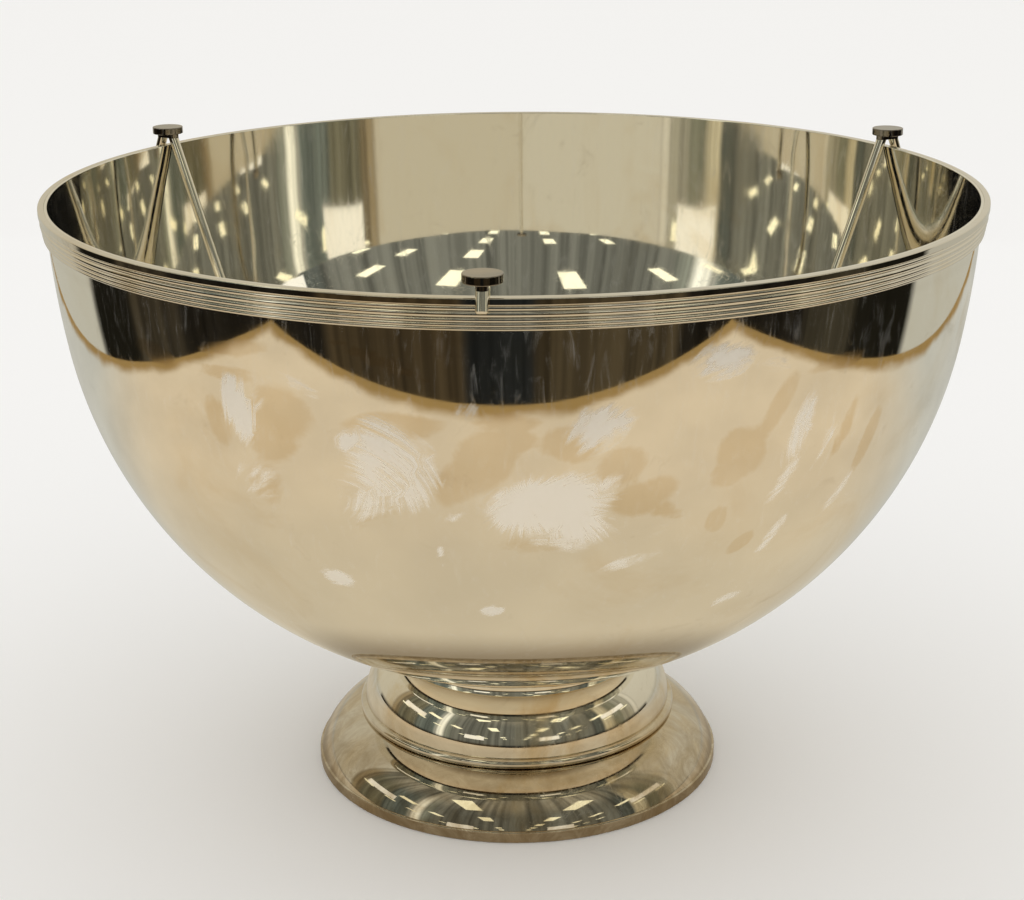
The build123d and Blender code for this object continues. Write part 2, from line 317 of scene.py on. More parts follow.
class Graph:
    """A node tree with one short call for each kind of node that the finishes use."""

    def __init__(self, tree: bpy.types.NodeTree) -> None:
        """Start from an emptied tree."""
        self.tree = tree
        tree.nodes.clear()

    def add(self, kind: str, inputs: dict | None = None, **settings: object) -> bpy.types.Node:
        """Add a node.

        Args:
            kind: Blender's name for the node.
            inputs: Values or sockets for its inputs, by name or number.
            settings: Attributes of the node.

        Returns:
            The new node.
        """
        node = self.tree.nodes.new(kind)
        for key, value in settings.items():
            setattr(node, key, value)
        for key, value in (inputs or {}).items():
            self.feed(node.inputs[key], value)
        return node

    def feed(self, socket: Socket, value: object) -> None:
        """Link a socket to another, or set its value."""
        if isinstance(value, bpy.types.NodeSocket):
            self.tree.links.new(value, socket)
        else:
            socket.default_value = value

    def math(self, operation: str, a: object, b: object = 0.0, clamp: bool = False) -> Socket:
        """One Math node's result."""
        return self.add("ShaderNodeMath", {0: a, 1: b}, operation=operation, use_clamp=clamp).outputs[0]

    def scaled(self, value: Socket, factor: float, addend: float) -> Socket:
        """The value times a factor, plus an addend."""
        inputs = {0: value, 1: factor, 2: addend}
        return self.add("ShaderNodeMath", inputs, operation="MULTIPLY_ADD").outputs[0]

    def fade(self, value: Socket, low: float, high: float, to: Point = (0.0, 1.0)) -> Socket:
        """Smooth step from to[0] at low to to[1] at high."""
        inputs = {"Value": value, "From Min": low, "From Max": high, "To Min": to[0], "To Max": to[1]}
        return self.add("ShaderNodeMapRange", inputs, interpolation_type="SMOOTHSTEP").outputs[0]

    def mix(self, share: Socket, a: object, b: object) -> Socket:
        """Colour that goes from a to b."""
        node = self.add("ShaderNodeMix", data_type="RGBA")
        self.feed(node.inputs[0], share)
        self.feed(node.inputs[6], a if isinstance(a, bpy.types.NodeSocket) else (*a, 1.0))
        self.feed(node.inputs[7], b if isinstance(b, bpy.types.NodeSocket) else (*b, 1.0))
        return node.outputs[2]

    def noise(self, vector: Socket, scale: float, detail: float = 2.0, rough: float = 0.5,
              warp: float = 0.0) -> Socket:
        """Noise from 0 to 1."""
        inputs = {"Vector": vector, "Scale": scale, "Detail": detail, "Roughness": rough, "Distortion": warp}
        return self.add("ShaderNodeTexNoise", inputs).outputs[0]

    def stretched(self, vector: Socket, scale: Colour, turn: Colour = (0.0, 0.0, 0.0)) -> Socket:
        """The vector turned, then scaled along each axis."""
        inputs = {"Vector": vector, "Rotation": tuple(radians(t) for t in turn), "Scale": scale}
        return self.add("ShaderNodeMapping", inputs).outputs[0]

    def attribute(self, name: str) -> Socket:
        """A number painted on the mesh."""
        return self.add("ShaderNodeAttribute", attribute_name=name).outputs["Fac"]

    def bump(self, height: Socket, distance: float, normal: Socket | None = None) -> Socket:
        """Normal tilted by a height of up to distance."""
        inputs = {"Height": height, "Strength": 1.0, "Distance": distance}
        if normal is not None:
            inputs["Normal"] = normal
        return self.add("ShaderNodeBump", inputs).outputs[0]


@dataclass(frozen=True)
class PlateFinish:
    """Worn silver plate: bright metal with golden tarnish, dull polish residue, spin lines and scratches."""

    name: str
    metal: Colour = (0.90, 0.87, 0.79)
    tarnish: Colour = (0.74, 0.60, 0.38)
    chalk: Colour = (0.93, 0.90, 0.83)
    # Dark brown for grime, also used for painted shade under the band, round the collar and towards the
    # foot's base.
    grime_and_shade: Colour = (0.30, 0.22, 0.12)
    roughness: float = 0.03
    blotch_scale: float = 14.0
    blotch_low: float = 0.50
    blotch_high: float = 0.80
    blotch_strength: float = 0.40
    grime: float = 0.25
    # Strength of the painted shade, with grime, that darkens the foot towards its base.
    low_shade_and_grime: float = 0.0
    dullness: float = 0.05
    lines: float = 0.0000010
    waves: float = 0.00010
    painted: bool = False

    def build(self) -> bpy.types.Material:
        """Make the material.

        Returns:
            The new material.
        """
        material = bpy.data.materials.new(self.name)
        material.use_nodes = True
        g = Graph(material.node_tree)
        place = g.add("ShaderNodeTexCoord").outputs["Object"]
        fine = g.noise(place, 420.0, 4.0, 0.65)
        blotch = g.noise(place, self.blotch_scale, 5.0, 0.6, 0.8)
        gold = g.math("MULTIPLY", g.fade(blotch, self.blotch_low, self.blotch_high), self.blotch_strength)
        mottle = g.noise(place, self.blotch_scale * 2.3, 6.0, 0.7, 1.2)
        grime = g.fade(mottle, 0.58, 0.80, (0.0, self.grime))
        chalk: Socket = g.fade(g.noise(place, 33.0, 6.0, 0.75, 1.5), 0.60, 0.85, (0.0, self.dullness * 4.0))
        if self.painted:
            gold, chalk, grime = self.with_marks(g, place, gold, chalk, grime)
        colour = g.mix(gold, self.metal, self.tarnish)
        # Painted shade with grime: the colour darkens towards the dark brown below about 58 mm, mottled.
        if self.low_shade_and_grime:
            height = g.add("ShaderNodeSeparateXYZ", {0: place}).outputs[2]
            low = g.math("MULTIPLY", g.fade(height, 0.058, 0.002), g.fade(mottle, 0.25, 0.65, (0.45, 1.1)))
            colour = g.mix(g.math("MULTIPLY", low, self.low_shade_and_grime, True), colour, self.grime_and_shade)
        # Grime mottle, and on the bowl the painted shade under the band and round the collar, darken the
        # colour towards the dark brown.
        colour = g.mix(grime, colour, self.grime_and_shade)
        colour = g.mix(chalk, colour, self.chalk)
        rough = g.scaled(fine, 0.03, self.roughness - 0.01)
        rough = g.math("ADD", rough, g.math("MULTIPLY", gold, 0.10))
        rough = g.math("ADD", rough, g.math("MULTIPLY", grime, 0.25))
        rough = g.math("ADD", rough, g.math("MULTIPLY", chalk, 0.42))
        rough = g.math("ADD", rough, g.math("MULTIPLY", self.scratches(g, place), 0.16), True)
        metallic = g.math("SUBTRACT", 1.0, g.math("MULTIPLY", chalk, 0.55), True)
        normal = g.bump(g.noise(place, 16.0, 1.0, 0.4), self.waves)
        normal = g.bump(self.spin_lines(g, place), self.lines, normal)
        surface = g.add("ShaderNodeBsdfPrincipled", {"Base Color": colour, "Metallic": metallic,
                                                     "Roughness": rough, "Normal": normal})
        g.add("ShaderNodeOutputMaterial", {"Surface": surface.outputs[0]})
        return material

    @staticmethod
    def spin_lines(g: Graph, place: Socket) -> Socket:
        """Fine rings round the axis: noise squeezed along the outline and drawn out round it."""
        along = g.add("ShaderNodeSeparateXYZ", {0: g.add("ShaderNodeTexCoord").outputs["UV"]}).outputs[1]
        flat = g.add("ShaderNodeSeparateXYZ", {0: place})
        ring = g.add("ShaderNodeCombineXYZ", {0: g.math("MULTIPLY", flat.outputs[0], 3.0),
                                              1: g.math("MULTIPLY", flat.outputs[1], 3.0),
                                              2: g.math("MULTIPLY", along, 700.0)}).outputs[0]
        return g.noise(ring, 1.0, 3.0, 0.6)

    @staticmethod
    def scratches(g: Graph, place: Socket) -> Socket:
        """Thin wandering scuffs in two directions, where stretched noise crosses its middle value."""
        sets = []
        for turn, warp in (((20.0, 35.0, 10.0), 1.4), ((-30.0, 15.0, 70.0), 2.2)):
            level = g.noise(g.stretched(place, (60.0, 9.0, 60.0), turn), 1.0, 2.0, 0.5, warp)
            off = g.math("ABSOLUTE", g.math("SUBTRACT", level, 0.5))
            sets.append(g.fade(off, 0.0, 0.006, (1.0, 0.0)))
        gate = g.fade(g.noise(place, 9.0, 2.0), 0.52, 0.62)
        return g.math("MULTIPLY", g.math("MAXIMUM", *sets), gate)

    @staticmethod
    def with_marks(g: Graph, place: Socket, gold: Socket, chalk: Socket,
                   grime: Socket) -> tuple[Socket, Socket, Socket]:
        """Add the painted patches, their edges broken up by noise and by curved strokes.

        Args:
            g: The material's graph.
            place: Object coordinates.
            gold: Tarnish so far.
            chalk: Polish residue so far.
            grime: Dirt so far.

        Returns:
            The tarnish, the residue and the dirt with the patches added; the dirt also takes in the painted
            shade under the band and round the collar.
        """
        edge = g.math("SUBTRACT", g.noise(place, 42.0, 6.0, 0.68, 0.8), 0.5)
        hairs = g.add("ShaderNodeCombineXYZ", {0: g.math("MULTIPLY", g.attribute("across"), 620.0),
                                               1: g.math("MULTIPLY", g.attribute("along"), 45.0)}).outputs[0]
        bristles = g.math("SUBTRACT", g.noise(hairs, 1.0, 4.0, 0.7, 0.5), 0.5)
        smear = g.noise(g.stretched(place, (150.0, 150.0, 26.0), (0.0, 38.0, 0.0)), 1.0, 5.0, 0.68, 2.5)
        chalk = g.math("MAXIMUM", chalk, g.fade(smear, 0.50, 0.80, (0.0, 0.17)))
        dense = g.math("MULTIPLY", g.attribute("chalk"), 1.25)
        core = g.math("ADD", dense, g.math("MULTIPLY", bristles, 1.9))
        wiped = g.fade(g.math("ADD", core, g.math("MULTIPLY", edge, 1.4)), 0.50, 1.28)
        patch = g.math("ADD", g.attribute("gold"), g.math("MULTIPLY", edge, 1.1))
        spread = g.fade(patch, 0.34, 0.72)
        cloud = g.fade(g.noise(place, 24.0, 3.0), 0.2, 0.7, (0.5, 1.0))
        stained = g.math("MULTIPLY", spread, cloud)
        chalk = g.math("MAXIMUM", chalk, g.math("MULTIPLY", wiped, 0.78))
        gold = g.math("MAXIMUM", gold, g.math("MULTIPLY", stained, 0.58))
        gold = g.math("MULTIPLY", gold, g.math("SUBTRACT", 1.0, wiped))
        # Painted shade, with grime, under the band and round the collar joins the dirt.
        return gold, chalk, g.math("MAXIMUM", grime, g.attribute("grime_and_shade"))


# ---- the bowl -------------------------------------------------------------------------------------


class Strokes(Enum):
    """Which way the brushed texture of a patch runs."""

    ROUND = "round its pivot"
    OUT = "out from its pivot"


@dataclass(frozen=True)
class Mark:
    """Soft patch on the outside of the bowl.

    Where u and v are the distances from its middle along and across it, in half-lengths and half-widths, it
    covers the metal by strength times exp(-(u^2 + v^2)^2). Azimuths are in degrees from the front hook. The
    pivot is where its strokes turn, in half-lengths and half-widths too.
    """

    azimuth: float
    height: float
    length: float
    width: float
    tilt: float = 0.0
    strength: float = 1.0
    strokes: Strokes = Strokes.OUT
    pivot: Point = (-2.6, -1.8)

    def local(self, azimuth: Array, height: Array, radius: Array) -> tuple[Array, Array]:
        """Distances from the middle in metres along and across the patch, at each grid point.

        Args:
            azimuth: Degrees from the front hook.
            height: Height over the table in metres.
            radius: Distance from the axis in metres.

        Returns:
            Two arrays of the same shape.
        """
        turn = (azimuth - self.azimuth + 180.0) % 360.0 - 180.0
        x, y = np.radians(turn) * radius, height - self.height * MM
        c, s = cos(radians(self.tilt)), sin(radians(self.tilt))
        return c * x + s * y, c * y - s * x

    def cover(self, azimuth: Array, height: Array, radius: Array) -> Array:
        """How far the patch covers each grid point, from 0 to its strength."""
        along, across = self.local(azimuth, height, radius)
        reach = (along / (self.length * MM)) ** 2 + (across / (self.width * MM)) ** 2
        return self.strength * np.exp(-(reach**2))

    def combed(self, azimuth: Array, height: Array, radius: Array) -> tuple[Array, Array]:
        """Distances in metres across and along the strokes, at each grid point."""
        along, across = self.local(azimuth, height, radius)
        x, y = along - self.pivot[0] * self.length * MM, across - self.pivot[1] * self.width * MM
        far, size = np.hypot(x, y), max(self.length, self.width) * MM
        arc = np.arctan2(y, x) * size
        return (far, arc) if self.strokes is Strokes.ROUND else (arc, far)


def scattered(count: int, seed: int, sizes: Point) -> list[Mark]:
    """Patches on the sides and the back, seeded so that they are the same each time.

    Args:
        count: Number of patches.
        seed: Seed of the random numbers.
        sizes: Least and greatest half-length in millimetres.

    Returns:
        The patches.
    """
    r = np.random.default_rng(seed)
    length = r.uniform(*sizes, count)
    turn = r.uniform(72.0, 288.0, count)
    height, tilt = r.uniform(115.0, 235.0, count), r.uniform(-60.0, 60.0, count)
    width, strength = length * r.uniform(0.3, 0.8, count), r.uniform(0.5, 1.0, count)
    return [Mark(*values) for values in zip(turn, height, length, width, tilt, strength)]


@dataclass
class Bowl:
    """The spun bowl: three tangent arcs up to the wall's tilt, then a short cone to the lip."""

    finish: bpy.types.Material
    wall_radius: float = 196.75 * MM
    wall_tilt: float = 3.0
    wall_height: float = 255.0 * MM
    floor_height: float = 51.0 * MM
    haunch_radius: float = 188.7 * MM
    crown_angle: float = 21.6
    haunch_angle: float = 80.5
    lip_radius: float = 197.4 * MM
    lip_height: float = 267.5 * MM
    sheet: float = 1.3 * MM
    lip_edge: float = 0.25 * MM
    collar_mark: float = 60.0 * MM
    segments: int = 380
    chalk_marks: tuple[Mark, ...] = (
        Mark(-10.5, 203, 19, 21, 0, 0.95, Strokes.ROUND, (-1.1, -1.3)), Mark(-15, 212, 5, 4, 30, 1.25),
        Mark(-12, 190, 17, 8, 35, 0.9, Strokes.ROUND, (-1.1, 2.0)),
        Mark(-8, 197, 11, 17, -20, 0.9, Strokes.ROUND),
        Mark(6.5, 188, 25, 14, 8, 1.2, Strokes.OUT, (-0.3, 0.4)),
        Mark(9, 182, 19, 12, -25, 1.0, Strokes.OUT, (-0.6, 0.9)), Mark(2.5, 190, 13, 8, 15, 0.9),
        Mark(13, 195, 9, 5, 35, 0.8), Mark(12, 219, 15, 10, 20, 0.9), Mark(-1.7, 225, 7, 6, 20, 0.75),
        Mark(-3.6, 184, 6, 3, 20, 0.8), Mark(8, 172, 16, 4, -10, 0.7), Mark(-28, 219, 7, 17, 12, 1.0),
        Mark(-26, 222, 8, 12, -10, 0.65), Mark(-27, 191, 12, 10, 10, 0.6), Mark(-19.7, 150, 8, 4.5, -5, 1.2),
        Mark(-5.6, 168, 1.6, 3.2, 0, 1.1), Mark(-6.1, 162, 1.7, 1.7, 0, 1.1), Mark(-0.1, 139, 5, 3, 0, 1.2),
        Mark(33.3, 133, 8, 3, 15, 1.0), Mark(36, 210, 6, 17, -14, 0.95, Strokes.ROUND, (4.0, 0.0)),
        Mark(35, 189, 3.5, 12, -28, 0.8), Mark(45, 175, 3.5, 14, -30, 0.75),
        Mark(35.7, 163, 3.5, 11, -25, 0.9),
        Mark(40, 200, 3, 16, -16, 0.65), Mark(16.5, 161, 14, 4, 15, 0.7), Mark(25, 240, 14, 9, 0, 0.85),
        Mark(31, 236, 10, 5, -20, 0.6), Mark(-20, 232, 13, 5, -30, 0.6), Mark(5, 238, 5, 3, 0, 0.5),
    )
    gold_marks: tuple[Mark, ...] = (
        Mark(-0.2, 207, 12, 15, -28), Mark(2.5, 214, 10, 6, 10), Mark(-3.5, 197, 8, 12, -25, 0.9),
        Mark(-9.5, 219, 22, 6, 4), Mark(8.7, 213, 13, 8, 0, 0.9), Mark(14.5, 203, 10, 9, 20, 0.9),
        Mark(17, 190, 14, 8, 15, 0.95), Mark(20, 183, 10, 4, -20, 0.8), Mark(-22.5, 220, 15, 12, -10, 1.0),
        Mark(-24, 208, 12, 9, 10, 0.9), Mark(-31, 212, 7, 12, 10, 0.8), Mark(-29, 232, 16, 4, 0, 0.8),
        Mark(28.3, 203, 11, 12, 35, 1.05), Mark(27, 196, 8, 7, 0, 1.0), Mark(32.3, 220, 5, 15, -28, 0.9),
        Mark(26.6, 176, 5, 7, 0, 1.0), Mark(31, 163, 7, 4.5, 40, 0.9), Mark(47.7, 195, 4.5, 17, -14, 0.9),
        Mark(43, 205, 4, 14, -18, 0.7), Mark(-40, 234, 14, 4, -6, 1.0), Mark(-28, 242, 18, 3.5, 8, 0.9),
        Mark(-10.6, 243, 22, 2.5, -20, 1.0), Mark(-26, 190, 10, 12, 0, 0.6), Mark(7, 176, 24, 10, 10, 0.55),
        Mark(40, 232, 16, 3.5, 5, 0.9), Mark(-12, 182, 16, 8, 30, 0.5), Mark(2, 222, 16, 4, 0, 0.8),
    )

    def radii(self) -> tuple[float, float]:
        """Radii of the lowest and highest arcs, from the wall's place and the floor's height."""
        a, b, end = (radians(angle) for angle in (self.crown_angle, self.haunch_angle, 90.0 - self.wall_tilt))
        across = self.wall_radius - self.haunch_radius * (sin(b) - sin(a))
        upwards = self.wall_height - self.floor_height - self.haunch_radius * (cos(a) - cos(b))
        flank_across, flank_upwards = sin(end) - sin(b), cos(b) - cos(end)
        scale = sin(a) * flank_upwards - flank_across * (1 - cos(a))
        crown = (across * flank_upwards - upwards * flank_across) / scale
        return crown, (upwards * sin(a) - across * (1 - cos(a))) / scale

    def wall(self, inset: float) -> Array:
        """The three tangent arcs from the axis up to the wall's top, inset from the outside."""
        crown, flank = self.radii()
        first = turned_arc((0.0, self.floor_height + inset), 0.0, crown - inset, self.crown_angle, 36)
        turn = self.haunch_angle - self.crown_angle
        second = turned_arc(tuple(first[-1]), self.crown_angle, self.haunch_radius - inset, turn, 70)
        rest = 90.0 - self.wall_tilt - self.haunch_angle
        third = turned_arc(tuple(second[-1]), self.haunch_angle, flank - inset, rest, 16)
        return joined(first, second, third)

    def outline(self) -> Array:
        """Outside from the axis to the lip, across the lip, and the inside back to the axis."""
        outside, inside = self.wall(0.0), self.wall(self.sheet)[::-1]
        edge = (self.lip_radius - self.sheet, self.lip_height)
        corners = [tuple(outside[-1]), (self.lip_radius, self.lip_height), edge, tuple(inside[0])]
        rim = eased(corners, self.lip_edge)
        return joined(outside, rim, inside)

    def build(self) -> None:
        """Make the shell, and paint its patches and the grime and painted shade under the band and round the
        collar.
        """
        piece = revolved("bowl_wall", self.outline(), self.segments, closed=False, sharp=50.0)
        co = np.empty(len(piece.data.vertices) * 3, np.float32)
        piece.data.vertices.foreach_get("co", co)
        x, y, z = co.reshape(-1, 3).T
        r = np.hypot(x, y)
        azimuth = np.degrees(np.arctan2(y, x)) - Side.FRONT.value
        outside = self.wall(0.0)
        out = (np.interp(z, outside[:, 1], outside[:, 0]) - r < 0.5 * self.sheet) & (z < self.wall_height)
        chalk = self.chalk_marks + tuple(scattered(count=46, seed=5, sizes=(4.0, 24.0)))
        gold = self.gold_marks + tuple(scattered(count=40, seed=11, sizes=(8.0, 30.0)))
        layers = {"chalk": self.overlaid(chalk, azimuth, z, r), "gold": self.overlaid(gold, azimuth, z, r)}
        # Painted shade with grime: darker just under the band's overhang and round the collar's join.
        under_band = 0.5 * np.exp(-(((z - self.wall_height) / (2.0 * MM)) ** 2))
        round_collar = 0.35 * np.exp(-(((r - self.collar_mark) / (4.0 * MM)) ** 2))
        layers["grime_and_shade"] = under_band + round_collar
        layers["across"], layers["along"] = self.combed(chalk, azimuth, z, r)
        for name, values in layers.items():
            painted = piece.data.attributes.new(name, "FLOAT", "POINT")
            painted.data.foreach_set("value", (values * out).astype(np.float32))
        settle(piece, self.finish, Slot.BOWL, "bowl", "bowl_shell")

    @staticmethod
    def overlaid(marks: Sequence[Mark], azimuth: Array, height: Array, radius: Array) -> Array:
        """The strongest of the patches at each point."""
        return np.max([mark.cover(azimuth, height, radius) for mark in marks], axis=0)

    @staticmethod
    def combed(marks: Sequence[Mark], azimuth: Array, height: Array, radius: Array) -> tuple[Array, Array]:
        """Distances across and along the strokes of the strongest patch at each point."""
        strongest = np.argmax([mark.cover(azimuth, height, radius) for mark in marks], axis=0)
        pairs = np.array([mark.combed(azimuth, height, radius) for mark in marks])
        picked = pairs[strongest, :, np.arange(len(azimuth))]
        return picked[:, 0], picked[:, 1]


@dataclass
class RimBand:
    """The reeded band round the rim: a plain fascia over five half-round reeds that narrow downwards."""

    finish: bpy.types.Material
    bowl: Bowl
    radius: float = 200.0 * MM
    fascia: float = 2.7 * MM
    reeds: tuple[float, ...] = (2.0 * MM, 2.4 * MM, 1.8 * MM, 1.6 * MM, 1.3 * MM)
    bulge: float = 0.30
    groove: float = 0.8 * MM
    foot: float = 1.3 * MM
    edge: float = 0.5 * MM
    segments: int = 400

    def flare(self, height: float) -> float:
        """Radius of the bowl's outside at a height on the short cone under its lip."""
        bowl = self.bowl
        share = (height - bowl.wall_height) / (bowl.lip_height - bowl.wall_height)
        return bowl.wall_radius + (bowl.lip_radius - bowl.wall_radius) * share

    def outline(self) -> Array:
        """Down the bowl's outside, up over the reeds and the fascia, and in along the lip."""
        top = self.bowl.lip_height - self.fascia
        bottom = top - sum(self.reeds)
        start, end = self.radius - self.groove, self.flare(bottom) + self.foot
        heights = top - np.concatenate([[0.0], np.cumsum(self.reeds)])
        grooves = start + (end - start) * (top - heights) / (top - bottom)
        reeds = [
            bulged_arc((grooves[i + 1], heights[i + 1]), (grooves[i], heights[i]),
                       self.bulge * (heights[i] - heights[i + 1]), 9)
            for i in reversed(range(len(self.reeds)))
        ]
        lip = self.bowl.lip_height
        fascia = eased([(start, top), (self.radius, top), (self.radius, lip), (self.bowl.lip_radius, lip)],
                       self.edge, 6)
        back = straight((self.bowl.lip_radius, lip), (self.flare(bottom), bottom), 2)
        return joined(back, *reeds, fascia[:-1])

    def build(self) -> None:
        """Make the band."""
        piece = revolved("reeded_band", self.outline(), self.segments, sharp=50.0)
        settle(piece, self.finish, Slot.BAND, "bowl", "rim_band")


# ---- the foot -------------------------------------------------------------------------------------


@dataclass
class Foot:
    """The stepped foot: a base ring, two spun tiers and a hollow collar under the bowl."""

    finish: bpy.types.Material
    bowl: Bowl
    sheet: float = 1.2 * MM
    seat: float = 6.0 * MM
    base_radius: float = 92.4 * MM
    base_height: float = 5.3 * MM
    base_width: float = 5.0 * MM
    base_edge: float = 0.8 * MM
    lower_start: float = 91.5 * MM
    lower_top: Point = (72.6 * MM, 24.3 * MM)
    upper_start: float = 70.4 * MM
    upper_top: Point = (57.8 * MM, 52.3 * MM)
    bulge: float = 3.1 * MM
    bead: float = 2.4 * MM
    collar_radius: float = 56.8 * MM
    waist: float = 0.8 * MM
    segments: int = 320

    def base(self) -> Array:
        """Flat ring with eased outer edges."""
        inner, outer = self.base_radius - self.base_width, self.base_radius
        corners = [(inner, 0.0), (outer, 0.0), (outer, self.base_height), (inner, self.base_height)]
        inside = np.array([corners[-1], corners[0]])
        return joined(inside, eased(corners, self.base_edge, 6)[1:-1])

    def tier(self, lead: Array, start: Point, top: Point) -> Array:
        """Domed tier with a level seat turned in at its top.

        Args:
            lead: Points from the tier's inner foot to the start of its dome.
            start: Where the dome starts.
            top: Where the dome ends.

        Returns:
            The closed outline, from the inner foot round the outside and back down the inside.
        """
        inner = (top[0] - self.seat, top[1])
        under = (inner[0], top[1] - self.sheet)
        dome = bulged_arc(start, top, self.bulge, 40)
        inside = bulged_arc((start[0] - self.sheet, start[1]), (top[0] - self.sheet, top[1] - self.sheet),
                            self.bulge, 30)
        seat = eased([tuple(dome[-2]), top, inner], 0.3 * MM, 4)
        return joined(lead, dome[:-1], seat[1:], np.array([inner, under]), inside[::-1])

    def lower(self) -> Array:
        """Lower tier, from the base ring up."""
        start = (self.lower_start, self.base_height)
        lead = np.array([(start[0] - self.sheet, start[1]), start])
        return self.tier(lead, start, self.lower_top)

    def upper(self) -> Array:
        """Upper tier, with the round bead at its foot."""
        low = self.lower_top[1]
        bead = turned_arc((self.upper_start, low), 0.0, self.bead, 180.0, 24)
        lead = joined(np.array([(self.upper_start - self.sheet, low)]), bead)
        return self.tier(lead, (self.upper_start, low + 2 * self.bead), self.upper_top)

    def collar(self) -> Array:
        """Waisted collar, whose top follows the bowl's underside."""
        crown = self.bowl.radii()[0]
        low, inner = self.upper_top[1], self.upper_top[0] - self.seat
        r = np.linspace(self.collar_radius, inner, 8)
        top = np.column_stack([r, self.bowl.floor_height + crown - np.sqrt(crown**2 - r**2)])
        outside = bulged_arc((self.collar_radius, low), tuple(top[0]), -self.waist, 16)
        return joined(np.array([(inner, low)]), outside, top)

    def build(self) -> None:
        """Make the four pieces."""
        outlines = {
            "base_ring": (self.base(), "foot_base_ring"),
            "lower_dome": (self.lower(), "foot_lower_tier"),
            "upper_dome": (self.upper(), "foot_upper_tier"),
            "waisted_collar": (self.collar(), "neck_collar"),
        }
        for name, (outline, node) in outlines.items():
            settle(revolved(name, outline, self.segments), self.finish, Slot.FOOT, "bowl", node)


# ---- the ice rack ---------------------------------------------------------------------------------


@dataclass
class Rack:
    """The lift-out rack: a ring with a drain plate, hung from three hooks with knobs."""

    finish: bpy.types.Material
    dark: bpy.types.Material
    ring_rod: float = 3.0 * MM
    rod_radius: float = 2.3 * MM
    slope: float = 21.0
    lip_height: float = 267.5 * MM
    lip_inner: float = 196.1 * MM
    lip_outer: float = 200.0 * MM
    lip_gap: float = 0.2 * MM
    leg_drop: float = 4.4 * MM
    chamfer: float = 0.7 * MM
    foot_chamfer: float = 0.3 * MM
    head_height: float = 270.7 * MM
    knob_height: float = 272.7 * MM
    knob_radius: float = 7.15 * MM
    knob_thickness: float = 3.2 * MM
    knob_edge: float = 0.35 * MM
    stud_radius: float = 1.5 * MM

    @property
    def at_lip(self) -> Point:
        """Radii of the rods' and the legs' axes at the lip's height, a gap off its two sides."""
        off = self.lip_gap + self.rod_radius / cos(radians(self.slope))
        return self.lip_inner - off, self.lip_outer + off

    def ring(self) -> None:
        """Ring of round rod; its radius and height come from the CAD node's box."""
        low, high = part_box("rack_ring")
        radius, height = high.x - self.ring_rod, (low.z + high.z) / 2
        t = np.linspace(0.0, TURN, 28, endpoint=False)
        outline = np.column_stack([radius + self.ring_rod * np.cos(t), height + self.ring_rod * np.sin(t)])
        settle(revolved("ring_rod", outline, 240), self.finish, Slot.RACK, "ice_rack", "rack_ring")

    def hook(self, side: Side) -> None:
        """Slanting rod inside the bowl, the short leg outside it and the knob on top.

        Args:
            side: Which of the three hooks.
        """
        a, slope = radians(side.value), radians(self.slope)
        out = Vector((cos(a), sin(a), 0.0))
        ring_low, ring_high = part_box("rack_ring")
        fall = self.lip_height - (ring_low.z + ring_high.z) / 2
        rod_at_lip, leg_at_lip = self.at_lip
        rod_axis = (out * sin(slope) + Vector((0.0, 0.0, cos(slope)))).normalized()
        foot = out * (rod_at_lip - fall * tan(slope)) + Vector((0.0, 0.0, self.lip_height - fall))
        hanger = rod(f"hanger_{side.node}", foot, rod_axis, self.rod_radius, self.head_height,
                     self.foot_chamfer)
        settle(hanger, self.finish, Slot.RACK, "ice_rack", f"hanger_rod_{side.node}")
        leg_axis = (-out * sin(slope) + Vector((0.0, 0.0, cos(slope)))).normalized()
        tip = out * (leg_at_lip + self.leg_drop * tan(slope))
        tip += Vector((0.0, 0.0, self.lip_height - self.leg_drop))
        leg = rod(f"leg_{side.node}", tip, leg_axis, self.rod_radius, self.head_height, self.chamfer)
        settle(leg, self.finish, Slot.RACK, "ice_rack", f"hook_leg_{side.node}")
        self.knob(side, out * (rod_at_lip + leg_at_lip) / 2)

    def knob(self, side: Side, middle: Vector) -> None:
        """Flat disc with eased edges on a short stud.

        Args:
            side: Which of the three hooks.
            middle: Foot of the knob's axis.
        """
        low, high = self.knob_height, self.knob_height + self.knob_thickness
        corners = [(self.stud_radius, low), (self.knob_radius, low), (self.knob_radius, high), (0.0, high)]
        disc = eased(corners, self.knob_edge, 5)
        stud = np.array([(0.0, self.head_height), (self.stud_radius, self.head_height)])
        piece = revolved(f"disc_knob_{side.node}", joined(stud, disc), 96, closed=False, sharp=30.0,
                         axis=(middle.x, middle.y))
        settle(piece, self.dark, Slot.DARK, f"knob_{side.node}_body", f"knob_{side.node}")

    def build(self) -> None:
        """Make the ring and the hooks, and dress the drain plate and the hooks' heads."""
        self.ring()
        dress("drain_plate", self.finish)
        for side in Side:
            self.hook(side)
            dress(f"hook_head_{side.node}", self.dark)


# ---- stage ----------------------------------------------------------------------------------------


@dataclass(frozen=True)
class Viewpoint:
    """Where the camera stands and how it is held."""

    place: Point3 = (0.0452, -0.8454, 0.4306)
    ahead: Point3 = (-0.05229, 0.94677, -0.31764)
    right: Point3 = (0.99858, 0.05289, -0.00683)
    lens: float = 69.87
    sensor: float = 36.0

    def build(self) -> None:
        """Make the camera: its axes are right, up and back, each square to the others."""
        camera = bpy.data.cameras.new("camera")
        camera.lens, camera.sensor_width = self.lens, self.sensor
        camera.clip_start = 0.02
        holder = bpy.data.objects.new("camera", camera)
        bpy.context.scene.collection.objects.link(holder)
        ahead, right = Vector(self.ahead).normalized(), Vector(self.right).normalized()
        up = right.cross(ahead).normalized()
        turn = Matrix((ahead.cross(up), up, -ahead)).transposed().to_4x4()
        holder.matrix_world = Matrix.Translation(self.place) @ turn
        bpy.context.scene.camera = holder


